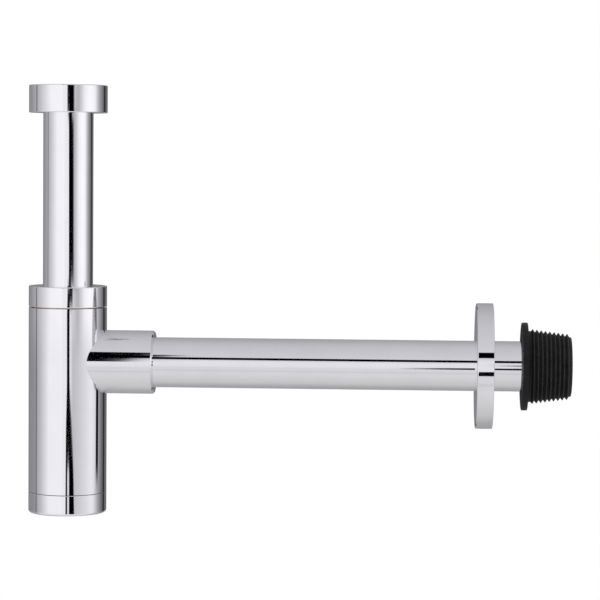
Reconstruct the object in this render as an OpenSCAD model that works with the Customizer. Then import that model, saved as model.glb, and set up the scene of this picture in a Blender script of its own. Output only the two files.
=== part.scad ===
// Adjustable basin trap: a slim bottle trap that hangs from the tail of a basin waste.
// Z is the inlet's axis, pointing up. X is the way to the wall. The origin is at the inner
// end of the inlet nut's thread, so everything but that thread lies at or below z = 0.

/* [Inlet tube] */
// Outside diameter of the vertical tube
inlet_tube_d = 32; // [31:0.5:33]
// Wall of the vertical tube
inlet_tube_wall = 1; // [0.8:0.1:1.4]
// Length of the vertical tube, from its flare down to its open end
inlet_tube_len = 170; // [150:1:174]
// Radial gap round the flare, gasket and slip ring in the inlet nut's pocket
pocket_gap = 0.4; // [0.3:0.05:0.8]
// Thickness of the flared collar
flare_t = 1.2; // [0.8:0.1:2]
// Length of the tube that shows between the two nuts
tube_showing = 110.5; // [80:1:125]

/* [Inlet nut] */
// Outside diameter of the inlet nut
inlet_nut_d = 50; // [48:0.5:60]
// Major diameter of the nut's female thread
inlet_thread_d = 41.91; // [41.91:0.01:43]
// Length of the thread, up to the chamfer at the nut's mouth
inlet_thread_len = 9.3; // [7:0.5:16]
// Diameter of the smooth pocket that holds the seal below the thread
pocket_d = 39.2; // [39:0.1:40.5]
// Thickness of the nut's web, which pulls on the flare
inlet_web_t = 2.5; // [2:0.1:4]
// Chamfer at the nut's mouth
mouth_chamfer = 0.8; // [0.4:0.1:1.5]
// Thickness of the slip ring between the web and the flare
slip_ring_t = 1; // [0.6:0.1:2]
// Thickness of the flat inlet gasket
inlet_gasket_t = 2.5; // [1.5:0.1:4]
// Bore of the flat inlet gasket
inlet_gasket_bore = 29; // [26:0.5:32]
// Gap from the gasket to the first turn of the thread
seat_gap = 0.3; // [0.25:0.05:1]

/* [Body nut] */
// Outside diameter of the body nut
body_nut_d = 50; // [49.5:0.5:60]
// Height of the body nut
body_nut_h = 13.3; // [12:0.1:14]
// Thickness of the web at the nut's top
body_web_t = 2.5; // [2:0.1:3.5]
// Thickness of the slip washer under the web
slip_washer_t = 1; // [0.6:0.1:2]
// Height of the conical seal round the tube
seal_h = 5; // [4:0.1:7]
// How far the seal stands out of the neck before the nut squeezes it
seal_stand = 0.5; // [0.2:0.1:1.5]
// Gap between the nut and the body's top
nut_gap = 0.5; // [0.3:0.1:1.5]

/* [Body] */
// Outside diameter of the body
body_d = 50; // [49.5:0.5:60]
// Wall of the drawn body tube
body_wall = 1.2; // [1:0.1:1.8]
// Length of the body tube
body_len = 118.3; // [95:1:160]
// Major diameter of the neck's thread and the nut's
neck_thread_d = 46; // [45.6:0.1:46.2]
// Mouth diameter of the seat for the conical seal
cone_mouth_d = 41.6; // [40.8:0.1:42]
// Diameter at the foot of that seat
cone_foot_d = 39.2; // [38.8:0.1:40]
// Depth of the conical seat
cone_depth = 3; // [2:0.1:3.4]
// Radial gap between the dip tube and the neck's bore
neck_gap = 0.4; // [0.3:0.05:0.6]
// Length of the neck ring inside the body tube
neck_ring_len = 10; // [6:0.5:14]
// Length of the base ring inside the body tube
base_ring_len = 11; // [10:0.5:14]

/* [Dip tube] */
// How far the dip tube's flange stands out of it
dip_flange_reach = 1; // [0.8:0.1:1.4]
// Wall of the dip tube
dip_tube_wall = 1.7; // [1.2:0.1:1.8]
// Thickness of the dip tube's flange
dip_flange_t = 1.5; // [1:0.1:2.5]
// Thickness of the flat gasket under that flange
dip_gasket_t = 1; // [0.6:0.1:2]
// Height of the dip tube's lower end above the underside of the cap
dip_rise = 34; // [28:0.5:40]

/* [Bottom cap] */
// Outside diameter of the bottom cap
cap_d = 50; // [49:0.5:60]
// Height of the part of the cap that shows
cap_h = 13.2; // [8:0.1:20]
// Thickness of the cap's floor
cap_floor_t = 2.5; // [1.5:0.1:4]
// Radius of the cap's lower edge
cap_edge_r = 1.6; // [0.8:0.1:3]
// Major diameter of the cap's thread and the base ring's
cap_thread_d = 43; // [41:0.1:43.4]
// Bore of the cap's cup
cap_bore_d = 37.8; // [36:0.1:38.2]
// Height of the threaded skirt above the cap's shoulder
cap_skirt_h = 10.5; // [9:0.1:12]
// Gap that shows between the cap and the body
seam_gap = 0.3; // [0.2:0.1:1]
// Thickness of the flat cap seal
cap_seal_t = 1.8; // [1.2:0.1:3]

/* [Threads] */
// Pitch of the fine threads on the neck and the cap
fine_pitch = 1.5; // [1:0.25:1.5]

/* [Outlet branch] */
// Outside diameter of the brazed branch
branch_d = 40.5; // [39:0.5:44]
// Reach of the branch from the inlet's axis
branch_reach = 56; // [52:0.1:70]
// Depth of the branch's axis below the body's top
branch_drop = 34.8; // [33:0.5:60]
// Water way cut in the body's wall behind the branch
body_port_d = 30; // [26:0.5:30.5]
// Chamfer round the branch's outer end
branch_bevel = 0.9; // [0.4:0.1:1.5]
// Thickness of rubber in each branch O-ring
o_ring_t = 2.5; // [2:0.1:2.8]
// Width of each O-ring groove
groove_w = 3.4; // [3.2:0.1:4]
// Distance from the branch's end to the middle of the outer groove
groove_set_in = 4.6; // [4.2:0.1:6]
// Distance between the two grooves
groove_pitch = 5; // [4.6:0.1:6]

/* [Outlet tube] */
// Outside diameter of the outlet tube
outlet_tube_d = 32; // [31:0.5:33]
// Wall of the outlet tube
outlet_tube_wall = 1; // [0.8:0.1:1.4]
// Length of the outlet tube
outlet_tube_len = 286.5; // [150:1:400]
// Length of the outlet tube inside the branch
tube_insert = 24; // [20:0.1:26]

/* [Wall flange] */
// Outside diameter of the wall flange
flange_d = 80; // [65:0.5:100]
// Depth of the wall flange
flange_depth = 10.8; // [10:0.1:20]
// Wall of the wall flange
flange_wall = 1.2; // [0.8:0.1:2]
// Radius of the flange's front edge
flange_edge_r = 0.8; // [0.4:0.1:1.5]
// Distance from the tube's far end back to the flange's front
flange_set_back = 57.2; // [45:0.5:90]
// Length of the grip ring inside the flange
grip_ring_len = 4; // [2:0.1:5]
// Thickness of rubber in the grip ring
grip_ring_t = 2.1; // [1.5:0.1:3.5]

/* [Wall adaptor] */
// Diameter of the adaptor's lip
lip_d = 56; // [52:0.2:66]
// Thickness of the adaptor's lip
lip_t = 3.7; // [2.5:0.1:6]
// Diameter of the plain neck behind the lip
adaptor_neck_d = 45.3; // [44:0.1:48]
// Length of the plain neck
adaptor_neck_len = 1.95; // [1:0.1:6]
// Number of sealing fins
fin_count = 9; // [5:1:12]
// Distance from one fin to the next
fin_pitch = 2.73; // [2.4:0.01:3.4]
// Height of a fin above the core
fin_h = 1.8; // [1:0.1:2.4]
// Width of the flat at the bottom of the valley between two fins
valley_flat = 0.27; // [0.1:0.01:0.6]
// Diameter over the first fin
first_fin_d = 47.9; // [46:0.1:51]
// Diameter over the last fin
last_fin_d = 42.2; // [42:0.1:46]
// Length of the plain land at the end
land_len = 1.2; // [0.8:0.1:4]
// How much the plain land narrows towards its end
land_taper = 0.3; // [0:0.05:0.6]
// Thickness of the inner stop that the tube butts on
stop_t = 3.4; // [2:0.1:5]
// Bore through the inner stop
stop_bore_d = 29; // [26:0.1:30.5]
// Height of the inner grip lips
grip_lip_h = 0.9; // [0.5:0.1:1.2]
// Width of a grip lip's crest
grip_crest = 0.9; // [0.4:0.1:1.5]
// Number of inner grip lips
grip_lip_count = 3; // [2:1:4]

/* [Clearances] */
// Radial clearance of a rubber or plastic ring that seals on a tube
seal_fit = 0.05; // [0.02:0.01:0.1]
// Radial clearance of the outlet tube in the branch
socket_fit = 0.1; // [0.05:0.01:0.1]
// Radial clearance where a loose piece turns or slides past another
loose_fit = 0.3; // [0.25:0.05:0.4]
// Radial gap filled by solder where a ring is brazed into the body
braze_gap = 0.03; // [0.02:0.01:0.06]
// Small chamfer that breaks the sharp edges of the nuts
edge_break = 0.6; // [0.3:0.1:1]

/* [Hidden] */
$fn = 96;

// A cut runs this far past the face it opens
eps = 0.01;
// A V thread is this share of its pitch deep
thread_depth = 0.613 * fine_pitch;

// Radii round the inlet's axis
inlet_tube_r = inlet_tube_d / 2;
inlet_bore_r = inlet_tube_r - inlet_tube_wall;
inlet_nut_r = inlet_nut_d / 2;
inlet_thread_r = inlet_thread_d / 2 + seal_fit;
pocket_r = pocket_d / 2;
flare_r = pocket_r - pocket_gap;
nut_hole_r = inlet_tube_r + loose_fit;
seal_bore_r = inlet_tube_r + seal_fit;
body_r = body_d / 2;
body_bore_r = body_r - body_wall;
brazed_r = body_bore_r - braze_gap;
body_nut_r = body_nut_d / 2;
body_nut_bore_r = neck_thread_d / 2 + seal_fit;
neck_root_r = neck_thread_d / 2 - thread_depth;
cone_mouth_r = cone_mouth_d / 2;
cone_foot_r = cone_foot_d / 2;
dip_flange_r = cone_foot_r - 2 * seal_fit;
dip_tube_r = dip_flange_r - dip_flange_reach;
dip_bore_r = dip_tube_r - dip_tube_wall;
neck_bore_r = dip_tube_r + neck_gap;
cap_r = cap_d / 2;
base_ring_bore_r = cap_thread_d / 2 + seal_fit;
cap_root_r = cap_thread_d / 2 - thread_depth;
cap_bore_r = cap_bore_d / 2;

// Heights of the stack inside the inlet nut, down from the thread
inlet_nut_top = inlet_thread_len + mouth_chamfer;
gasket_top = -seat_gap;
flare_top = gasket_top - inlet_gasket_t;
flare_bottom = flare_top - flare_t;
slip_ring_bottom = flare_bottom - slip_ring_t;
inlet_nut_bottom = slip_ring_bottom - inlet_web_t;
inlet_tube_bottom = flare_top - inlet_tube_len;

// Heights of the stack inside the body nut, down from its top face
body_nut_top = inlet_nut_bottom - tube_showing;
body_nut_bottom = body_nut_top - body_nut_h;
body_web_bottom = body_nut_top - body_web_t;
slip_washer_bottom = body_web_bottom - slip_washer_t;
neck_top = slip_washer_bottom - seal_stand;
cone_foot_z = neck_top - cone_depth;
seal_bottom = slip_washer_bottom - seal_h;
dip_flange_bottom = seal_bottom - dip_flange_t;
neck_shoulder = dip_flange_bottom - dip_gasket_t;

// Heights of the body and its cap
body_top = body_nut_bottom - nut_gap;
body_bottom = body_top - body_len;
branch_z = body_top - branch_drop;
cap_top = body_bottom - seam_gap;
cap_bottom = cap_top - cap_h;
base_ring_bottom = cap_top + cap_seal_t;
dip_tube_bottom = cap_bottom + dip_rise;

// Radii and places along the outlet's axis
branch_r = branch_d / 2;
outlet_tube_r = outlet_tube_d / 2;
socket_r = outlet_tube_r + socket_fit;
o_ring_bore_r = outlet_tube_r + seal_fit;
groove_r = o_ring_bore_r + o_ring_t + seal_fit;
groove_outer_x = branch_reach - groove_set_in;
groove_inner_x = groove_outer_x - groove_pitch;
outlet_start = branch_reach - tube_insert;
outlet_end = outlet_start + outlet_tube_len;
flange_front = outlet_end - flange_set_back;
flange_r = flange_d / 2;
flange_hole_r = outlet_tube_r + loose_fit;
grip_ring_r = o_ring_bore_r + grip_ring_t;
grip_pocket_r = grip_ring_r + seal_fit;
adaptor_end = outlet_end + stop_t;
adaptor_len = lip_t + adaptor_neck_len + fin_count * fin_pitch + land_len;
lip_front = adaptor_end - adaptor_len;
fins_start = lip_front + lip_t + adaptor_neck_len;

// Points of an arc in a profile, from angle a0 to angle a1
function arc(centre, r, a0, a1, steps = 6) =
    [for (i = [0:steps]) let (a = a0 + (a1 - a0) * i / steps)
        centre + r * [cos(a), sin(a)]];

// A solid of revolution round the inlet's axis: x is the radius, y the height
module turned(profile) {
    rotate_extrude() polygon(profile);
}

// The same round the outlet's axis: x is the radius, y the distance from the inlet's axis
module turned_on_outlet(profile) {
    translate([0, 0, branch_z]) rotate([0, 90, 0]) rotate_extrude() polygon(profile);
}

// A plain ring round the inlet's axis, from z0 up to z1
module ring(inner_r, outer_r, z0, z1) {
    translate([0, 0, z0]) difference() {
        cylinder(r = outer_r, h = z1 - z0);
        translate([0, 0, -eps]) cylinder(r = inner_r, h = z1 - z0 + 2 * eps);
    }
}

// A plain cylinder on the outlet's axis, from x0 to x1
module outlet_rod(r, x0, x1) {
    translate([x0, 0, branch_z]) rotate([0, 90, 0]) cylinder(r = r, h = x1 - x0);
}

// Chromed nut that screws on to the basin waste
module inlet_nut() {
    color("gainsboro") turned([
        [nut_hole_r, inlet_nut_bottom],
        [inlet_nut_r - edge_break, inlet_nut_bottom],
        [inlet_nut_r, inlet_nut_bottom + edge_break],
        [inlet_nut_r, inlet_nut_top - edge_break],
        [inlet_nut_r - edge_break, inlet_nut_top],
        [inlet_thread_r + mouth_chamfer, inlet_nut_top],
        [inlet_thread_r, inlet_thread_len],
        [inlet_thread_r, 0],
        [pocket_r, 0],
        [pocket_r, slip_ring_bottom],
        [nut_hole_r, slip_ring_bottom]
    ]);
}

// Plastic ring that lets the nut turn without wringing the flare
module inlet_slip_ring() {
    color("whitesmoke") ring(nut_hole_r, flare_r, slip_ring_bottom, flare_bottom);
}

// Flat rubber washer that meets the end of the basin waste
module inlet_gasket() {
    color("dimgray") ring(inlet_gasket_bore / 2, flare_r, flare_top, gasket_top);
}

// Chromed brass tube with a collar flared at its top
module inlet_tube() {
    bend_r = flare_t / 2;
    color("silver") turned(concat(
        [
            [inlet_bore_r, inlet_tube_bottom],
            [inlet_tube_r, inlet_tube_bottom],
            [inlet_tube_r, flare_bottom],
            [flare_r, flare_bottom],
            [flare_r, flare_top]
        ],
        arc([inlet_bore_r + bend_r, flare_top - bend_r], bend_r, 90, 180)
    ));
}

// Chromed nut that squeezes the conical seal into the neck
module body_nut() {
    color("gainsboro") turned([
        [nut_hole_r, body_web_bottom],
        [nut_hole_r, body_nut_top],
        [body_nut_r - edge_break, body_nut_top],
        [body_nut_r, body_nut_top - edge_break],
        [body_nut_r, body_nut_bottom + edge_break],
        [body_nut_r - edge_break, body_nut_bottom],
        [body_nut_bore_r, body_nut_bottom],
        [body_nut_bore_r, body_web_bottom]
    ]);
}

// Plastic washer that keeps the turning nut off the rubber
module body_slip_washer() {
    color("whitesmoke")
        ring(nut_hole_r, cone_mouth_r, slip_washer_bottom, body_web_bottom);
}

// Conical rubber seal that grips the tube at the chosen height
module inlet_seal() {
    color("dimgray") turned([
        [seal_bore_r, seal_bottom],
        [cone_foot_r - seal_fit, seal_bottom],
        [cone_foot_r - seal_fit, cone_foot_z],
        [cone_mouth_r - seal_fit, neck_top],
        [cone_mouth_r - seal_fit, slip_washer_bottom],
        [seal_bore_r, slip_washer_bottom]
    ]);
}

// Plastic insert that leads the water down, clamped by its flange under the seal
module dip_tube() {
    color("whitesmoke") turned([
        [dip_bore_r, dip_tube_bottom],
        [dip_tube_r, dip_tube_bottom],
        [dip_tube_r, dip_flange_bottom],
        [dip_flange_r, dip_flange_bottom],
        [dip_flange_r, seal_bottom],
        [dip_bore_r, seal_bottom]
    ]);
}

// Flat rubber washer under the dip tube's flange
module dip_tube_gasket() {
    color("dimgray")
        ring(dip_tube_r + seal_fit, dip_flange_r, neck_shoulder, dip_flange_bottom);
}

// Turned brass ring brazed into the top of the body, with the thread and the seal's seat
module neck_ring() {
    sleeve_wall = (brazed_r - neck_bore_r) / 2;
    color("darkkhaki") turned([
        [neck_bore_r, neck_shoulder],
        [cone_foot_r, neck_shoulder],
        [cone_foot_r, cone_foot_z],
        [cone_mouth_r, neck_top],
        [neck_root_r, neck_top],
        [neck_root_r, body_top],
        [brazed_r, body_top],
        [brazed_r, body_top - neck_ring_len],
        [brazed_r - sleeve_wall, body_top - neck_ring_len],
        [neck_bore_r, body_top - neck_ring_len / 2]
    ]);
}

// Drawn and chromed body tube, with the port that the branch covers
module body_shell() {
    color("silver") difference() {
        ring(body_bore_r, body_r, body_bottom, body_top);
        outlet_rod(body_port_d / 2, 0, body_r + eps);
    }
}

// Turned brass ring brazed into the foot of the body, threaded for the cap
module base_ring() {
    color("darkkhaki")
        ring(base_ring_bore_r, brazed_r, base_ring_bottom, body_bottom + base_ring_len);
}

// Flat rubber seal on the cap's shoulder
module cap_seal() {
    color("dimgray")
        ring(cap_root_r + seal_fit, brazed_r - seal_fit, cap_top, base_ring_bottom);
}

// Chromed cup that unscrews for cleaning
module bottom_cap() {
    color("gainsboro") turned(concat(
        [
            [0, cap_bottom],
            [cap_r - cap_edge_r, cap_bottom]
        ],
        arc([cap_r - cap_edge_r, cap_bottom + cap_edge_r], cap_edge_r, -90, 0),
        [
            [cap_r, cap_top],
            [cap_root_r, cap_top],
            [cap_root_r, cap_top + cap_skirt_h],
            [cap_bore_r, cap_top + cap_skirt_h],
            [cap_bore_r, cap_bottom + cap_floor_t],
            [0, cap_bottom + cap_floor_t]
        ]
    ));
}

// Socket brazed on the side of the body: its inner end is cut to the body's curve
module outlet_branch() {
    color("silver") difference() {
        turned_on_outlet([
            [socket_r, 0],
            [branch_r, 0],
            [branch_r, branch_reach - branch_bevel],
            [branch_r - branch_bevel, branch_reach],
            [socket_r, branch_reach]
        ]);
        translate([0, 0, branch_z - branch_r - eps])
            cylinder(r = body_r + braze_gap, h = 2 * (branch_r + eps));
        for (x = [groove_inner_x, groove_outer_x])
            outlet_rod(groove_r, x - groove_w / 2, x + groove_w / 2);
    }
}

// Rubber O-ring in one of the branch's grooves
module branch_o_ring(x) {
    color("dimgray") translate([x, 0, branch_z]) rotate([0, 90, 0])
        rotate_extrude() translate([o_ring_bore_r + o_ring_t / 2, 0]) circle(d = o_ring_t);
}

module branch_o_ring_inner() {
    branch_o_ring(groove_inner_x);
}

module branch_o_ring_outer() {
    branch_o_ring(groove_outer_x);
}

// Chromed brass tube that runs to the wall
module outlet_tube() {
    bore_r = outlet_tube_r - outlet_tube_wall;
    color("silver") difference() {
        outlet_rod(outlet_tube_r, outlet_start, outlet_end);
        outlet_rod(bore_r, outlet_start - eps, outlet_end + eps);
    }
}

// Rubber ring that holds the flange where it is pushed
module flange_grip_ring() {
    x0 = flange_front + flange_wall;
    color("dimgray") turned_on_outlet([
        [o_ring_bore_r, x0],
        [grip_ring_r, x0],
        [grip_ring_r, x0 + grip_ring_len],
        [o_ring_bore_r, x0 + grip_ring_len]
    ]);
}

// Pressed cover that hides the hole in the wall, open at the back
module wall_flange() {
    x1 = flange_front + flange_depth;
    inner_x = flange_front + flange_wall;
    collar_x = inner_x + grip_ring_len + flange_wall;
    collar_r = grip_pocket_r + flange_wall;
    color("silver") turned_on_outlet(concat(
        [
            [flange_hole_r, inner_x],
            [flange_hole_r, flange_front]
        ],
        arc([flange_r - flange_edge_r, flange_front + flange_edge_r], flange_edge_r, -90, 0),
        [
            [flange_r, x1],
            [flange_r - flange_wall, x1],
            [flange_r - flange_wall, inner_x],
            [collar_r, inner_x],
            [collar_r, collar_x],
            [grip_pocket_r, collar_x],
            [grip_pocket_r, inner_x]
        ]
    ));
}

// Tapered rubber plug with sealing fins outside and grip lips inside
module wall_adaptor() {
    lip_r = lip_d / 2;
    neck_r = adaptor_neck_d / 2;
    lip_rear = lip_front + lip_t;
    fins_end = fins_start + fin_count * fin_pitch;
    // Radius of the line through the fin tips, at a distance from the first fin
    function tip_r(turn) =
        (first_fin_d + (last_fin_d - first_fin_d) * turn / (fin_count - 1)) / 2;
    fins = [for (i = [0:fin_count - 1]) each [
        [tip_r(i - 0.5) - fin_h, fins_start + i * fin_pitch + valley_flat / 2],
        [tip_r(i), fins_start + (i + 0.5) * fin_pitch],
        [tip_r(i + 0.5) - fin_h, fins_start + (i + 1) * fin_pitch - valley_flat / 2]
    ]];
    land_r = tip_r(fin_count - 0.5) - fin_h;
    grip_r = outlet_tube_r + seal_fit;
    bore_r = grip_r + grip_lip_h;
    grip_pitch = (outlet_end - lip_front) / grip_lip_count;
    crest = grip_crest / 2;
    foot = crest + grip_lip_h / 2;
    grips = [for (i = [grip_lip_count - 1:-1:0]) let (x = lip_front + (i + 0.5) * grip_pitch) each [
        [bore_r, x + foot],
        [grip_r, x + crest],
        [grip_r, x - crest],
        [bore_r, x - foot]
    ]];
    color([0.13, 0.13, 0.14]) turned_on_outlet(concat(
        [
            [bore_r, lip_front],
            [lip_r, lip_front],
            [lip_r, lip_rear],
            [neck_r, lip_rear],
            [neck_r, fins_start]
        ],
        fins,
        [
            [land_r, fins_end],
            [land_r - land_taper, adaptor_end],
            [stop_bore_d / 2, adaptor_end],
            [stop_bore_d / 2, outlet_end],
            [bore_r, outlet_end]
        ],
        grips
    ));
}

inlet_nut();
inlet_slip_ring();
inlet_gasket();
inlet_tube();
body_nut();
body_slip_washer();
inlet_seal();
dip_tube();
dip_tube_gasket();
neck_ring();
body_shell();
base_ring();
cap_seal();
bottom_cap();
outlet_branch();
branch_o_ring_inner();
branch_o_ring_outer();
outlet_tube();
flange_grip_ring();
wall_flange();
wall_adaptor();
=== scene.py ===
import math

import bpy
import numpy as np
from mathutils import Matrix, Vector

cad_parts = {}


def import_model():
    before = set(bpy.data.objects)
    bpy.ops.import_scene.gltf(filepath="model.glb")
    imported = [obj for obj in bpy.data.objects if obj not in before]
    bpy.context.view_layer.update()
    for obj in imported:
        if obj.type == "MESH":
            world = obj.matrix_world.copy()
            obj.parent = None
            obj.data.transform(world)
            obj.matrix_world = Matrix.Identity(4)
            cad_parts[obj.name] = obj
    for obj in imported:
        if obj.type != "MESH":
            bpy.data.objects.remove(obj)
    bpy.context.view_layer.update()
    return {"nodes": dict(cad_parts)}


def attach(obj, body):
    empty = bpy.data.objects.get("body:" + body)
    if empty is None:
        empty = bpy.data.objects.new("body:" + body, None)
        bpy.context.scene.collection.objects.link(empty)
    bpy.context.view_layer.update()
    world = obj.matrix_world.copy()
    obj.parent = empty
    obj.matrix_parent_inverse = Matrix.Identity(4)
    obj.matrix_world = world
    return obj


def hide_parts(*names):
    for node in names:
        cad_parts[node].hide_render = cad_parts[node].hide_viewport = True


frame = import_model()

MM = 0.001
BRANCH_Z = -166.6


# outlines and turned meshes

def strips(points):
    """A closed outline of (radius, place, rounding) as runs of (radius, place, normal) rows.

    A run is a straight stretch or a rounded corner. The key says which point it starts from."""
    flat = np.array([p[:2] for p in points], float)
    after = np.roll(flat, -1, axis=0)
    area = np.sum(flat[:, 0] * after[:, 1] - after[:, 0] * flat[:, 1])
    order = list(range(len(points)))
    if area < 0:
        order.reverse()
    n = len(order)
    corners = []
    for k in range(n):
        a, b, c = (flat[order[(k + d) % n]] for d in (-1, 0, 1))
        u = (b - a) / np.linalg.norm(b - a)
        v = (c - b) / np.linalg.norm(c - b)
        turn = math.atan2(u[0] * v[1] - u[1] * v[0], float(u @ v))
        size = points[order[k]][2]
        out_u = np.array([u[1], -u[0]])
        if size > 0 and abs(turn) > 0.02:
            reach = size * math.tan(abs(turn) / 2)
            sign = 1 if turn > 0 else -1
            start = b - u * reach
            centre = start - sign * size * out_u
            steps = max(3, math.ceil(abs(turn) / (math.pi / 2) * 6))
            arc = []
            for i in range(steps + 1):
                t = turn * i / steps
                normal = np.array([out_u[0] * math.cos(t) - out_u[1] * math.sin(t),
                                   out_u[0] * math.sin(t) + out_u[1] * math.cos(t)])
                arc.append((centre + sign * size * normal, normal))
            corners.append(arc)
        else:
            out_v = np.array([v[1], -v[0]])
            corners.append([(b, out_u), (b, out_v)])
    runs = []
    for k in range(n):
        here, there = corners[k], corners[(k + 1) % n]
        if len(here) > 2:
            runs.append((None, here))
        start, end = here[-1][0], there[0][0]
        if np.linalg.norm(end - start) > 1e-6:
            along = (end - start) / np.linalg.norm(end - start)
            normal = np.array([along[1], -along[0]])
            key = frozenset((order[k], order[(k + 1) % n]))
            runs.append((key, [(start, normal), (end, normal)]))
    return runs


class Skin:
    """Rings of points round an axis, joined by bands that carry their own exact normals."""

    def __init__(self, segs, axis):
        self.segs, self.axis = segs, axis
        t = np.arange(segs) * 2 * math.pi / segs
        self.t = t
        c, s, o = np.cos(t), np.sin(t), np.zeros(segs)
        if axis == "z":
            self.er = np.stack([c, s, o], 1)
            self.et = np.stack([-s, c, o], 1)
            self.ea = np.array([0.0, 0.0, 1.0])
            self.origin = np.zeros(3)
        else:
            self.er = np.stack([o, c, s], 1)
            self.et = np.stack([o, -s, c], 1)
            self.ea = np.array([1.0, 0.0, 0.0])
            self.origin = np.array([0.0, 0.0, BRANCH_Z])
        self.points, self.count = [], 0
        self.faces, self.normals = [], []
        self.last = None

    def ring(self, radius, place):
        """Adds a ring, or one point on the axis, and gives the number of its first point."""
        r = np.broadcast_to(np.asarray(radius, float), (self.segs,))
        a = np.broadcast_to(np.asarray(place, float), (self.segs,))
        xyz = self.er * r[:, None] + self.ea * a[:, None] + self.origin
        first, pole = self.count, bool(np.all(r < 1e-6))
        if pole:
            xyz = xyz[:1]
        self.points.append(xyz)
        self.count += len(xyz)
        return first, pole

    def direction(self, nr, na, nt=0.0):
        nr, na, nt = (np.broadcast_to(np.asarray(v, float), (self.segs,))[:, None] for v in (nr, na, nt))
        n = self.er * nr + self.ea * na + self.et * nt
        return n / np.linalg.norm(n, axis=1)[:, None]

    def band(self, low, high, n_low, n_high):
        """Faces between two rings."""
        (a, pole_a), (b, pole_b) = low, high
        if pole_a and pole_b:
            return
        for j in range(self.segs):
            k = (j + 1) % self.segs
            if pole_a:
                self.faces.append((a, b + k, b + j))
                self.normals += [n_low[j], n_high[k], n_high[j]]
            elif pole_b:
                self.faces.append((a + j, a + k, b))
                self.normals += [n_low[j], n_low[k], n_high[j]]
            else:
                self.faces.append((a + j, a + k, b + k, b + j))
                self.normals += [n_low[j], n_low[k], n_high[k], n_high[j]]

    def mesh(self, name):
        mesh = bpy.data.meshes.new(name)
        points = np.concatenate(self.points) * MM
        mesh.from_pydata(points.tolist(), [], self.faces)
        mesh.polygons.foreach_set("use_smooth", [True] * len(self.faces))
        mesh.normals_split_custom_set([tuple(v) for v in self.normals])
        mesh.update()
        return mesh


def thread_rows(skin, start, end, pitch, depth, outward, half, fade, rows_per_pitch=10):
    """Rows of a helical V thread on a straight cylinder, and their normals."""
    (r0, a0), (_, a1) = start, end
    count = max(2, int(math.ceil(abs(a1 - a0) / pitch * rows_per_pitch)))
    low, high = min(a0, a1), max(a0, a1)
    side = 1 if outward else -1
    flat = 0.12

    def height(t, a):
        u = (a / pitch - t / (2 * math.pi) + (0.5 if half else 0.0)) % 1.0
        v = np.clip((0.5 - np.abs(u - 0.5)) * 2, 0, 1)
        v = np.clip((v - flat) / (1 - 2 * flat), 0, 1)
        edge = np.clip(np.minimum(a - low - fade[0], high - fade[1] - a) / (0.6 * pitch), 0, 1)
        return depth * v * edge

    rows = []
    for i in range(count + 1):
        a = a0 + (a1 - a0) * i / count
        h = height(skin.t, a)
        if i in (0, count):
            h = h * 0
        e = 1e-3
        slope_a = (height(skin.t, a + e * 10) - height(skin.t, a - e * 10)) / (e * 20)
        slope_t = (height(skin.t + e, a) - height(skin.t - e, a)) / (2 * e) / r0
        rows.append((r0 + side * h, a, skin.direction(side, -slope_a, -slope_t)))
    return rows


def turned(name, points, axis="z", segs=160, threads=None):
    """A mesh turned from a closed outline. threads: {pair of points: its thread}."""
    skin = Skin(segs, axis)
    first = last = None
    for key, run in strips(points):
        spec = (threads or {}).get(key)
        if spec:
            rows = thread_rows(skin, run[0][0], run[1][0], *spec)
        else:
            rows = [(p[0], p[1], skin.direction(n[0], n[1])) for p, n in run]
        previous = last
        for i, (radius, place, normal) in enumerate(rows):
            if i == 0 and previous is not None:
                ring = previous[0]
            else:
                ring = skin.ring(radius, place)
            if first is None:
                first = ring
            if i:
                skin.band(last[0], ring, last[1], normal)
            last = (ring, normal)
    # The last ring falls on the first one
    merged = skin.mesh(name)
    weld(merged)
    return merged


def weld(mesh):
    """Joins the points that fall together, keeping the normals of each face's corners."""
    count = len(mesh.vertices)
    co = np.empty(count * 3)
    mesh.vertices.foreach_get("co", co)
    keys = np.round(co.reshape(-1, 3) / 1e-8).astype(np.int64)
    _, keep, to = np.unique(keys, axis=0, return_index=True, return_inverse=True)
    if len(keep) == count:
        return
    to = to.reshape(-1)
    faces = [[int(to[v]) for v in p.vertices] for p in mesh.polygons]
    normals = [tuple(c.vector) for c in mesh.corner_normals]
    points = co.reshape(-1, 3)[keep]
    mesh.clear_geometry()
    mesh.from_pydata(points.tolist(), [], faces)
    mesh.polygons.foreach_set("use_smooth", [True] * len(faces))
    mesh.normals_split_custom_set(normals)
    mesh.update()


# materials

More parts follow.
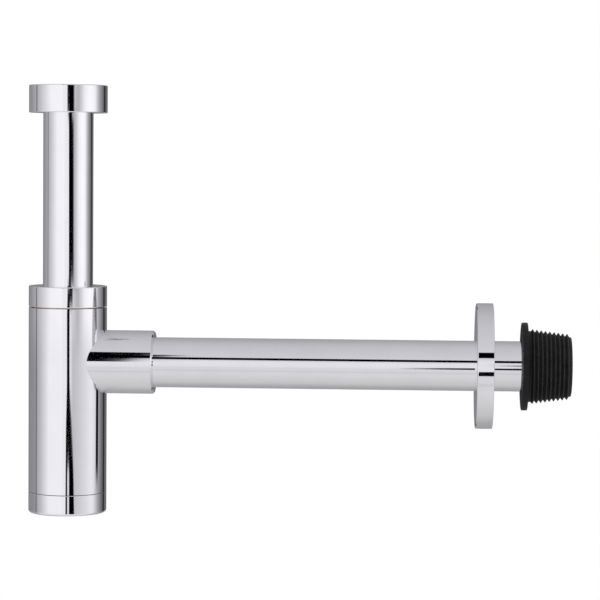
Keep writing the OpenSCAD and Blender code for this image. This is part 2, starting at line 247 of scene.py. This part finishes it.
class Nodes:
    """A short way to write a shader."""

    def __init__(self, name):
        self.mat = bpy.data.materials.new(name)
        self.mat.use_nodes = True
        self.tree = self.mat.node_tree
        self.tree.nodes.clear()
        self.out = self.tree.nodes.new("ShaderNodeOutputMaterial")

    def add(self, kind, inputs=None, **facts):
        node = self.tree.nodes.new("ShaderNode" + kind)
        for key, value in facts.items():
            setattr(node, key, value)
        for key, value in (inputs or {}).items():
            socket = node.inputs[key]
            if isinstance(value, bpy.types.NodeSocket):
                self.tree.links.new(value, socket)
            else:
                socket.default_value = value
        return node

    def noise(self, where, scale, detail=3.0, rough=0.5):
        return self.add("TexNoise", {"Vector": where, "Scale": scale, "Detail": detail,
                                     "Roughness": rough}).outputs["Fac"]

    def spread(self, value, low, high, out_low, out_high):
        return self.add("MapRange", {"Value": value, "From Min": low, "From Max": high,
                                     "To Min": out_low, "To Max": out_high}).outputs["Result"]

    def blend(self, factor, a, b):
        node = self.add("Mix", data_type="RGBA")
        self.tree.links.new(factor, node.inputs[0])
        node.inputs[6].default_value = (*a, 1)
        node.inputs[7].default_value = (*b, 1)
        return node.outputs[2]

    def math(self, operation, a, b=0.0):
        node = self.add("Math", operation=operation)
        for i, value in enumerate((a, b)):
            if isinstance(value, bpy.types.NodeSocket):
                self.tree.links.new(value, node.inputs[i])
            else:
                node.inputs[i].default_value = value
        return node.outputs[0]

    def finish(self, shader):
        self.tree.links.new(shader, self.out.inputs["Surface"])
        return self.mat


def chrome(name, light, dark, axis="z"):
    """Mirror chrome plate: faint polishing lines round the axis, and a trace of wipe marks."""
    s = Nodes(name)
    where = s.add("TexCoord").outputs["Object"]
    stretch = (30, 30, 900) if axis == "z" else (900, 30, 30)
    lines = s.add("Mapping", {"Vector": where, "Scale": stretch}).outputs["Vector"]
    polish = s.noise(lines, 3.0, 4.0, 0.6)
    wiped = s.noise(where, 55.0, 5.0, 0.55)
    grain = s.noise(where, 2600.0, 2.0)
    tone = s.blend(s.spread(wiped, 0.35, 0.7, 0, 1), light, dark)
    gloss = s.math("ADD", s.spread(wiped, 0.3, 0.75, 0.02, 0.05), s.spread(polish, 0.3, 0.7, 0.0, 0.015))
    bump = s.add("Bump", {"Height": polish, "Strength": 0.03, "Distance": 0.00002})
    bump = s.add("Bump", {"Height": grain, "Strength": 0.02, "Distance": 0.00001,
                          "Normal": bump.outputs["Normal"]})
    skin = s.add("BsdfPrincipled", {"Base Color": tone, "Metallic": 1.0, "Roughness": gloss,
                                    "Normal": bump.outputs["Normal"]})
    return s.finish(skin.outputs["BSDF"])


def turned_brass(name):
    """Bare turned brass: fine tool rings, slight tarnish."""
    s = Nodes(name)
    where = s.add("TexCoord").outputs["Object"]
    lines = s.add("Mapping", {"Vector": where, "Scale": (60, 60, 5200)}).outputs["Vector"]
    rings = s.noise(lines, 1.0, 3.0, 0.6)
    stain = s.noise(where, 140.0, 5.0, 0.6)
    tone = s.blend(s.spread(stain, 0.35, 0.75, 0, 1), (0.80, 0.60, 0.27), (0.62, 0.42, 0.17))
    gloss = s.math("ADD", s.spread(rings, 0.3, 0.7, 0.2, 0.3), s.spread(stain, 0.3, 0.8, 0.0, 0.12))
    bump = s.add("Bump", {"Height": rings, "Strength": 0.25, "Distance": 0.00004})
    skin = s.add("BsdfPrincipled", {"Base Color": tone, "Metallic": 1.0, "Roughness": gloss,
                                    "Normal": bump.outputs["Normal"]})
    return s.finish(skin.outputs["BSDF"])


def moulded_plastic(name):
    """White moulded plastic with a faint eggshell skin and flow marks."""
    s = Nodes(name)
    where = s.add("TexCoord").outputs["Object"]
    flow = s.noise(where, 80.0, 4.0, 0.6)
    shell = s.noise(where, 1800.0, 3.0, 0.5)
    tone = s.blend(s.spread(flow, 0.3, 0.75, 0, 1), (0.82, 0.82, 0.80), (0.74, 0.74, 0.71))
    gloss = s.spread(flow, 0.3, 0.75, 0.32, 0.45)
    bump = s.add("Bump", {"Height": shell, "Strength": 0.12, "Distance": 0.00005})
    skin = s.add("BsdfPrincipled", {"Base Color": tone, "Roughness": gloss,
                                    "Normal": bump.outputs["Normal"]})
    return s.finish(skin.outputs["BSDF"])


def seal_rubber(name):
    """Dark grey seal rubber with fine speckle."""
    s = Nodes(name)
    where = s.add("TexCoord").outputs["Object"]
    dust = s.noise(where, 320.0, 5.0, 0.65)
    pits = s.noise(where, 2400.0, 3.0, 0.6)
    tone = s.blend(s.spread(dust, 0.4, 0.8, 0, 1), (0.022, 0.022, 0.024), (0.06, 0.06, 0.062))
    gloss = s.spread(dust, 0.3, 0.8, 0.5, 0.68)
    bump = s.add("Bump", {"Height": pits, "Strength": 0.25, "Distance": 0.00006})
    skin = s.add("BsdfPrincipled", {"Base Color": tone, "Roughness": gloss,
                                    "Specular IOR Level": 0.35, "Normal": bump.outputs["Normal"]})
    return s.finish(skin.outputs["BSDF"])


def finned_rubber(name):
    """Near-black rubber, painted a little greyer on the fins' crests as a painted highlight."""
    s = Nodes(name)
    where = s.add("TexCoord").outputs["Object"]
    dust = s.noise(where, 260.0, 5.0, 0.65)
    pits = s.noise(where, 2200.0, 3.0, 0.6)
    painted_fin_light = s.add("Attribute", attribute_name="painted_fin_light").outputs["Fac"]
    # Painted highlight: where the attribute marks the fins' crests and the end land, the colour is mixed towards a
    # lighter grey, broken up by the dust noise.
    patchy_fin_light = s.math("MULTIPLY", painted_fin_light, s.spread(dust, 0.25, 0.6, 0.5, 1.0))
    base = s.blend(s.spread(dust, 0.4, 0.8, 0, 1), (0.007, 0.007, 0.0075), (0.013, 0.013, 0.0135))
    node = s.add("Mix", data_type="RGBA")
    s.tree.links.new(patchy_fin_light, node.inputs[0])
    s.tree.links.new(base, node.inputs[6])
    node.inputs[7].default_value = (0.05, 0.05, 0.052, 1)
    gloss = s.spread(dust, 0.3, 0.8, 0.42, 0.58)
    bump = s.add("Bump", {"Height": pits, "Strength": 0.2, "Distance": 0.00005})
    skin = s.add("BsdfPrincipled", {"Base Color": node.outputs[2], "Roughness": gloss,
                                    "Specular IOR Level": 0.18, "Normal": bump.outputs["Normal"]})
    return s.finish(skin.outputs["BSDF"])


# The level pieces (outlet tube, wall flange, branch) get a darker copy of the same chrome: painted shade.
UPRIGHT = chrome("chrome_upright", (0.90, 0.90, 0.915), (0.87, 0.87, 0.89))
LEVEL_SHADED = chrome("chrome_level_shaded", (0.82, 0.82, 0.835), (0.79, 0.79, 0.81), "x")
BRASS = turned_brass("brass_turned")
PLASTIC = moulded_plastic("plastic_white")
RUBBER = seal_rubber("rubber_seal")
FINNED = finned_rubber("rubber_finned")


# pieces

def place(node, mesh, material, body, slot):
    """Puts a piece in its node's place, riding on the node's body."""
    obj = bpy.data.objects.new("look_" + node, mesh)
    bpy.context.scene.collection.objects.link(obj)
    mesh.materials.append(material)
    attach(obj, body)
    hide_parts(node)
    return obj


def ring(inner, outer, a0, a1, soft):
    return [(inner, a0, soft), (outer, a0, soft), (outer, a1, soft), (inner, a1, soft)]


def pair(i, j):
    return frozenset((i, j))


# pitch, depth, outward, half a pitch over, and the plain lengths at the low and high end
NUT_THREAD = (2.309, 1.5, False, False, (0.3, 0.0))
FINE_MALE = (1.5, 0.86, True, False, (0.3, 0.2))
FINE_FEMALE = (1.5, 0.86, False, True, (0.2, 0.2))
CAP_MALE = (1.5, 0.86, True, False, (2.1, 0.3))

place("inlet_nut", turned("inlet_nut", [
    (16.3, -7.5, 0.3), (25, -7.5, 0.6), (25, 10.1, 0.6), (21.8, 10.1, 0.25), (21.0, 9.3, 0.2),
    (21.0, 0, 0.1), (19.6, 0, 0.2), (19.6, -5, 0.2), (16.3, -5, 0.2)], segs=192,
    threads={pair(4, 5): NUT_THREAD}), UPRIGHT, "inlet_nut", "chrome")
place("inlet_slip_ring", turned("inlet_slip_ring", ring(16.3, 19.2, -5.0, -4.0, 0.15)),
      PLASTIC, "slip_ring", "white_plastic")
place("inlet_gasket", turned("inlet_gasket", ring(14.5, 19.2, -2.8, -0.3, 0.35)),
      RUBBER, "inlet", "rubber")
place("inlet_tube", turned("inlet_tube", [
    (15, -172.8, 0.15), (16, -172.8, 0.3), (16, -4.0, 0.25), (19.2, -4.0, 0.3), (19.2, -2.8, 0.3),
    (15, -2.8, 0.6)], segs=192), UPRIGHT, "inlet", "chrome")
place("body_nut", turned("body_nut", [
    (16.3, -120.5, 0.2), (16.3, -118, 0.3), (25, -118, 0.6), (25, -131.3, 0.6), (23.05, -131.3, 0.2),
    (23.05, -120.5, 0.2)], segs=192, threads={pair(4, 5): FINE_FEMALE}), UPRIGHT, "body_nut", "chrome")
place("body_slip_washer", turned("body_slip_washer", ring(16.3, 20.8, -121.5, -120.5, 0.15)),
      PLASTIC, "slip_washer", "white_plastic")
place("inlet_seal", turned("inlet_seal", [
    (16.05, -126.5, 0.3), (19.55, -126.5, 0.3), (19.55, -125, 0.4), (20.75, -122, 0.3),
    (20.75, -121.5, 0.1), (16.05, -121.5, 0.25)]), RUBBER, "seal", "rubber")
place("dip_tube", turned("dip_tube", [
    (16.8, -229.6, 0.4), (18.5, -229.6, 0.5), (18.5, -128, 0.2), (19.5, -128, 0.2),
    (19.5, -126.5, 0.2), (16.8, -126.5, 0.3)]), PLASTIC, "trap", "white_plastic")
place("dip_tube_gasket", turned("dip_tube_gasket", ring(18.55, 19.5, -129, -128, 0.2)),
      RUBBER, "trap", "rubber")
place("neck_ring", turned("neck_ring", [
    (18.9, -129, 0.2), (19.6, -129, 0.15), (19.6, -125, 0.2), (20.8, -122, 0.2), (22.08, -122, 0.3),
    (22.08, -131.8, 0.1), (23.77, -131.8, 0.1), (23.77, -141.8, 0.2), (21.335, -141.8, 0.2),
    (18.9, -136.8, 0.3)], segs=176, threads={pair(4, 5): FINE_MALE}), BRASS, "trap", "brass")
place("base_ring", turned("base_ring", ring(21.55, 23.77, -248.6, -239.1, 0.25), segs=176,
      threads={pair(0, 3): FINE_FEMALE}), BRASS, "trap", "brass")
place("cap_seal", turned("cap_seal", ring(20.63, 23.72, -250.4, -248.6, 0.5)),
      RUBBER, "cap_seal", "rubber")
place("bottom_cap", turned("bottom_cap", [
    (0, -263.6, 0), (25, -263.6, 1.6), (25, -250.4, 0.35), (20.58, -250.4, 0.2),
    (20.58, -239.9, 0.3), (18.9, -239.9, 0.3), (18.9, -261.1, 0.8), (0, -261.1, 0)], segs=192,
    threads={pair(3, 4): CAP_MALE}), UPRIGHT, "cap", "chrome")
for node, x in (("branch_o_ring_inner", 46.4), ("branch_o_ring_outer", 51.4)):
    place(node, turned(node, ring(16.05, 18.55, x - 1.25, x + 1.25, 1.2499), "x"), RUBBER, "o_rings", "rubber")
place("outlet_tube", turned("outlet_tube", ring(15, 16, 32, 318.5, 0.25), "x", segs=192),
      LEVEL_SHADED, "outlet", "chrome")
place("flange_grip_ring", turned("flange_grip_ring", ring(16.05, 18.15, 262.5, 266.5, 0.35), "x"),
      RUBBER, "grip_ring", "rubber")
place("wall_flange", turned("wall_flange", [
    (16.3, 262.5, 0.2), (16.3, 261.3, 0.35), (40, 261.3, 0.9), (40, 272.1, 0.35), (38.8, 272.1, 0.35),
    (38.8, 262.5, 0.6), (19.4, 262.5, 0.5), (19.4, 267.7, 0.25), (18.2, 267.7, 0.25),
    (18.2, 262.5, 0.05)], "x", segs=224), LEVEL_SHADED, "flange", "chrome")

# The rubber adaptor: lip, plain neck, nine tapering ring fins, end land, stop and grip lips
LIP_X, FINS_X, PITCH, END_X, STOP_X = 290.48, 296.13, 2.73, 321.9, 318.5


def tip(turn):
    return 23.95 - 0.35625 * turn


outline = [(16.95, LIP_X, 0.3), (28, LIP_X, 0.4), (28, LIP_X + 3.7, 0.4), (22.65, LIP_X + 3.7, 0.2),
           (22.65, FINS_X, 0.05)]
for i in range(9):
    x = FINS_X + i * PITCH
    outline += [(tip(i - 0.5) - 1.8, x + 0.135, 0.1), (tip(i), x + PITCH / 2, 0.16),
                (tip(i + 0.5) - 1.8, x + PITCH - 0.135, 0.1)]
outline += [(19.12, FINS_X + 9 * PITCH, 0.05), (18.82, END_X, 0.25), (14.5, END_X, 0.3),
            (14.5, STOP_X, 0.2), (16.95, STOP_X, 0.2)]
for i in (2, 1, 0):
    x = LIP_X + (i + 0.5) * (STOP_X - LIP_X) / 3
    outline += [(16.95, x + 0.9, 0.15), (16.05, x + 0.45, 0.2), (16.05, x - 0.45, 0.2), (16.95, x - 0.9, 0.15)]
adaptor = place("wall_adaptor", turned("wall_adaptor", outline, "x"), FINNED, "adaptor", "adaptor_rubber")
# Painted highlight: a point attribute, 1 on the fins' crests and 0.8 on the end land, which the rubber's material
# turns into a lighter grey.
co = np.empty(len(adaptor.data.vertices) * 3)
adaptor.data.vertices.foreach_get("co", co)
co = co.reshape(-1, 3) / MM
radius = np.hypot(co[:, 1], co[:, 2] - BRANCH_Z)
turn = (co[:, 0] - FINS_X) / PITCH - 0.5
fin_light_mask = np.clip((radius - (23.95 - 0.35625 * turn) + 0.35) / 0.3, 0, 1) * (co[:, 0] > FINS_X) * (co[:, 0] < FINS_X + 9 * PITCH)
fin_light_mask = np.maximum(fin_light_mask, (co[:, 0] > FINS_X + 9 * PITCH + 0.1) * (radius > 18.6) * 0.8)
adaptor.data.attributes.new("painted_fin_light", "FLOAT", "POINT").data.foreach_set("value", fin_light_mask.astype(np.float32))

# The body and the branch keep their CAD solids
for node, material in (("body_shell", UPRIGHT), ("outlet_branch", LEVEL_SHADED)):
    obj = frame["nodes"][node]
    obj.data.materials.clear()
    obj.data.materials.append(material)


# stage: floor and surround

def linear(v):
    v = np.asarray(v, float)
    return np.where(v <= 0.04045, v / 12.92, ((v + 0.055) / 1.055) ** 2.4)


def ease(x, low, high):
    t = np.clip((x - low) / (high - low), 0, 1)
    return t * t * (3 - 2 * t)


def stops(x, pairs):
    return np.interp(x, [p[0] for p in pairs], [p[1] for p in pairs])


def window(x, low, high, soft_low, soft_high):
    return ease(x, low - soft_low / 2, low + soft_low / 2) * (1 - ease(x, high - soft_high / 2, high + soft_high / 2))


def surround():
    """The studio round the object, which only reflections see: pale panels, grey behind, black flags.

    Azimuth runs from the front towards +X, elevation up, both in degrees."""
    rows, cols, radius = 540, 540, 8.0
    el = np.linspace(-89.9, 89.9, rows)
    el = np.degrees(np.arctan(np.sinh(np.linspace(-4.2, 4.2, rows)) * 0.35))
    el[0], el[-1] = -90, 90
    az = np.linspace(-180, 180, cols, endpoint=False)
    A, E = np.meshgrid(az, el)
    side_high = stops(A, [(-180, 0.50), (-125, 0.57), (-90, 0.71), (-45, 0.95), (5, 0.96), (36, 0.70), (57, 0.94),
                          (75, 0.99), (92, 0.95), (110, 0.66), (135, 0.40), (160, 0.40), (180, 0.50)])
    side_low = stops(A, [(-180, 0.50), (-110, 0.55), (-80, 0.73), (-50, 0.93), (12, 0.94), (22, 0.74), (60, 0.85),
                         (80, 0.91), (90, 0.88), (112, 0.60), (130, 0.40), (160, 0.40), (180, 0.50)])
    side = side_high + (side_low - side_high) * ease(-E, 3.4, 5.2)
    front = np.cos(np.radians(A))
    arch = np.degrees(np.arctan2(np.sin(np.radians(E)), np.cos(np.radians(E)) * front))
    over = stops(arch, [(-180, 0.58), (-125, 0.68), (-95, 0.80), (-47, 0.87), (-35, 0.86), (-31, 0.82), (-26, 0.87),
                        (12, 0.87), (40, 0.83), (85, 0.79), (105, 0.76), (130, 0.70), (180, 0.60)])
    value = side + (over - side) * ease(np.abs(E), 9, 15)
    ahead = window(A, -9, 9, 5, 5) * (np.abs(E) < 15)
    value = value + (0.90 - value) * ahead * 0.6
    flags = np.zeros_like(value)
    left = stops(E, [(-9.4, 1.5), (-7.8, 1.9), (-6.8, 2.5), (-5.7, 5.1), (-3.56, 4.5), (-3.54, 5.9), (-2.86, 5.8),
                     (-2.84, 11.6), (-0.5, 10.6), (1.97, 9.5), (1.99, 4.2), (9, 4.2)])
    right = stops(E, [(-9.4, 27), (-8.0, 24), (-6.8, 18.5), (-5.7, 12.3), (-3.56, 11.7), (-3.54, 20.5), (-2.86, 20.3),
                      (-2.84, 32), (1.97, 30), (1.99, 23), (9, 23)])
    soft = stops(E, [(-3.56, 2.0), (-3.54, 3.0), (-2.86, 3.0), (-2.84, 9.0), (1.97, 9.0), (1.99, 7.0)])
    stripe = ease(A - left, -0.8, 0.8) * (1 - ease(A - right, -soft / 2, soft / 2)) * window(E, -14, 9, 1, 1)
    lit = window(A, 6.0, 11.9, 1, 1) * (E < -8.0)
    flags = np.maximum(flags, stripe * (1 - 0.9 * lit))
    flags = np.maximum(flags, window(A, 100, 109.5, 1.5, 2) * window(E, -8.3, -4.9, 0.6, 0.4))
    flags = np.maximum(flags, 0.5 * window(A, 92, 103, 3, 2) * window(E, -4.9, -3.6, 0.4, 0.2))
    flags = np.maximum(flags, window(A, -12.5, 30, 1, 2) * window(E, 18.5, 28.5, 1, 1))
    flags = np.maximum(flags, window(A, -12.5, -6.9, 1, 0.6) * window(E, 4.9, 38.5, 0.8, 1.5))
    # Dark strips at the sides and behind, so that the plate reads as chrome from there too
    for centre, wide, deep in ((-160, 9, 0.75), (142, 12, 0.55), (-98, 5, 0.35), (62, 0, 0)):
        if wide:
            flags = np.maximum(flags, deep * window(A, centre - wide / 2, centre + wide / 2, 4, 4) * window(E, -40, 40, 20, 20))
    value = value * (1 - flags)
    warm = ease(-E, 30, 60)
    rgb = np.stack([value, value - 0.003 - 0.002 * warm, value + 0.012 - 0.014 * warm], -1)
    rgb = np.clip(linear(np.clip(rgb, 0, 1.1)) / 0.90, 0, None)
    x = np.cos(np.radians(E)) * np.sin(np.radians(A))
    y = -np.cos(np.radians(E)) * np.cos(np.radians(A))
    z = np.sin(np.radians(E))
    points = np.stack([x, y, z], -1).reshape(-1, 3) * radius + np.array([0.1, 0, -0.12])
    i, j = np.meshgrid(np.arange(rows - 1), np.arange(cols), indexing="ij")
    k = (j + 1) % cols
    faces = np.stack([i * cols + j, (i + 1) * cols + j, (i + 1) * cols + k, i * cols + k], -1).reshape(-1, 4)
    mesh = bpy.data.meshes.new("surround")
    mesh.vertices.add(len(points))
    mesh.vertices.foreach_set("co", points.ravel())
    mesh.loops.add(faces.size)
    mesh.loops.foreach_set("vertex_index", faces.ravel().astype(np.int32))
    mesh.polygons.add(len(faces))
    mesh.polygons.foreach_set("loop_start", np.arange(0, faces.size, 4, dtype=np.int32))
    mesh.update(calc_edges=True)
    glow = mesh.attributes.new("glow", "FLOAT_COLOR", "POINT")
    colours = np.ones((len(points), 4), np.float32)
    colours[:, :3] = rgb.reshape(-1, 3)
    glow.data.foreach_set("color", colours.ravel())
    obj = bpy.data.objects.new("stage_surround", mesh)
    bpy.context.scene.collection.objects.link(obj)
    s = Nodes("stage_surround")
    colour = s.add("Attribute", attribute_name="glow").outputs["Color"]
    mesh.materials.append(s.finish(s.add("Emission", {"Color": colour, "Strength": 1.0}).outputs["Emission"]))
    for ray in ("camera", "diffuse", "shadow", "transmission", "volume_scatter"):
        setattr(obj, "visible_" + ray, False)


def floor():
    """A pale floor: it keeps the object's soft shadow near it, and is plain white further out."""
    size, height = 14.0, -0.46
    mesh = bpy.data.meshes.new("floor")
    mesh.from_pydata([(-size, -size, height), (size, -size, height), (size, size, height), (-size, size, height)],
                     [], [(0, 1, 2, 3)])
    obj = bpy.data.objects.new("stage_floor", mesh)
    bpy.context.scene.collection.objects.link(obj)
    s = Nodes("stage_floor")
    seen = s.add("LightPath").outputs["Is Camera Ray"]
    where = s.add("TexCoord").outputs["Object"]
    flat = s.add("VectorMath", {0: where, 1: (1.0, 1.0, 0.0)}, operation="MULTIPLY").outputs["Vector"]
    away = s.add("VectorMath", {0: flat}, operation="LENGTH").outputs["Value"]
    far = s.spread(away, 0.45, 0.75, 0, 1)
    matt = s.add("BsdfDiffuse", {"Color": (0.82, 0.82, 0.82, 1)}).outputs["BSDF"]
    lift = s.add("Emission", {"Strength": s.math("MULTIPLY", seen, 0.35)}).outputs["Emission"]
    near = s.add("AddShader")
    s.tree.links.new(matt, near.inputs[0])
    s.tree.links.new(lift, near.inputs[1])
    white = s.add("Emission", {"Color": (1, 1, 1, 1), "Strength": 1.0}).outputs["Emission"]
    mix = s.add("MixShader", {0: s.math("MULTIPLY", far, seen)})
    s.tree.links.new(near.outputs[0], mix.inputs[1])
    s.tree.links.new(white, mix.inputs[2])
    mesh.materials.append(s.finish(mix.outputs[0]))
    obj.visible_glossy = False


def world():
    scene = bpy.context.scene
    scene.world = bpy.data.worlds.new("studio")
    scene.world.use_nodes = True
    tree = scene.world.node_tree
    tree.nodes.clear()
    path = tree.nodes.new("ShaderNodeLightPath")
    plain = tree.nodes.new("ShaderNodeMath")
    plain.operation = "MAXIMUM"
    both = tree.nodes.new("ShaderNodeMath")
    both.operation = "MAXIMUM"
    strength = tree.nodes.new("ShaderNodeMapRange")
    back = tree.nodes.new("ShaderNodeBackground")
    out = tree.nodes.new("ShaderNodeOutputWorld")
    tree.links.new(path.outputs["Is Camera Ray"], plain.inputs[0])
    tree.links.new(path.outputs["Is Glossy Ray"], plain.inputs[1])
    tree.links.new(plain.outputs[0], both.inputs[0])
    tree.links.new(path.outputs["Is Transmission Ray"], both.inputs[1])
    tree.links.new(both.outputs[0], strength.inputs["Value"])
    strength.inputs["To Min"].default_value = 0.5
    strength.inputs["To Max"].default_value = 1.0
    back.inputs["Color"].default_value = (1, 1, 1, 1)
    tree.links.new(strength.outputs["Result"], back.inputs["Strength"])
    tree.links.new(back.outputs[0], out.inputs["Surface"])


def lamp(name, at, power, size, target=(0.1, 0, -0.13)):
    data = bpy.data.lights.new(name, "AREA")
    data.energy, data.size, data.shape = power, size, "SQUARE"
    obj = bpy.data.objects.new(name, data)
    bpy.context.scene.collection.objects.link(obj)
    obj.location = at
    obj.rotation_euler = (Vector(target) - Vector(at)).to_track_quat("-Z", "Y").to_euler()
    obj.visible_camera = obj.visible_glossy = False
    return obj


def camera():
    yaw, pitch, roll = -0.04324, -0.05592, 0.00813
    forward = Vector((math.sin(yaw) * math.cos(pitch), math.cos(yaw) * math.cos(pitch), math.sin(pitch)))
    level = Vector((math.cos(yaw), -math.sin(yaw), 0))
    lift = level.cross(forward)
    right = level * math.cos(roll) + lift * math.sin(roll)
    up = lift * math.cos(roll) - level * math.sin(roll)
    data = bpy.data.cameras.new("camera")
    data.sensor_width, data.lens = 36, 144.95
    data.clip_start, data.clip_end = 0.05, 60
    obj = bpy.data.objects.new("camera", data)
    bpy.context.scene.collection.objects.link(obj)
    turn = Matrix((right, up, -forward)).transposed().to_4x4()
    obj.matrix_world = Matrix.Translation((0.2156, -1.5396, -0.0394)) @ turn
    bpy.context.scene.camera = obj


surround()
floor()
world()
lamp("key", (-0.9, -1.3, 1.4), 20.0, 1.4)
lamp("fill", (1.5, -0.9, 0.7), 7.0, 1.2)
camera()
bpy.context.scene.view_settings.view_transform = "Standard"

bpy.context.view_layer.update()
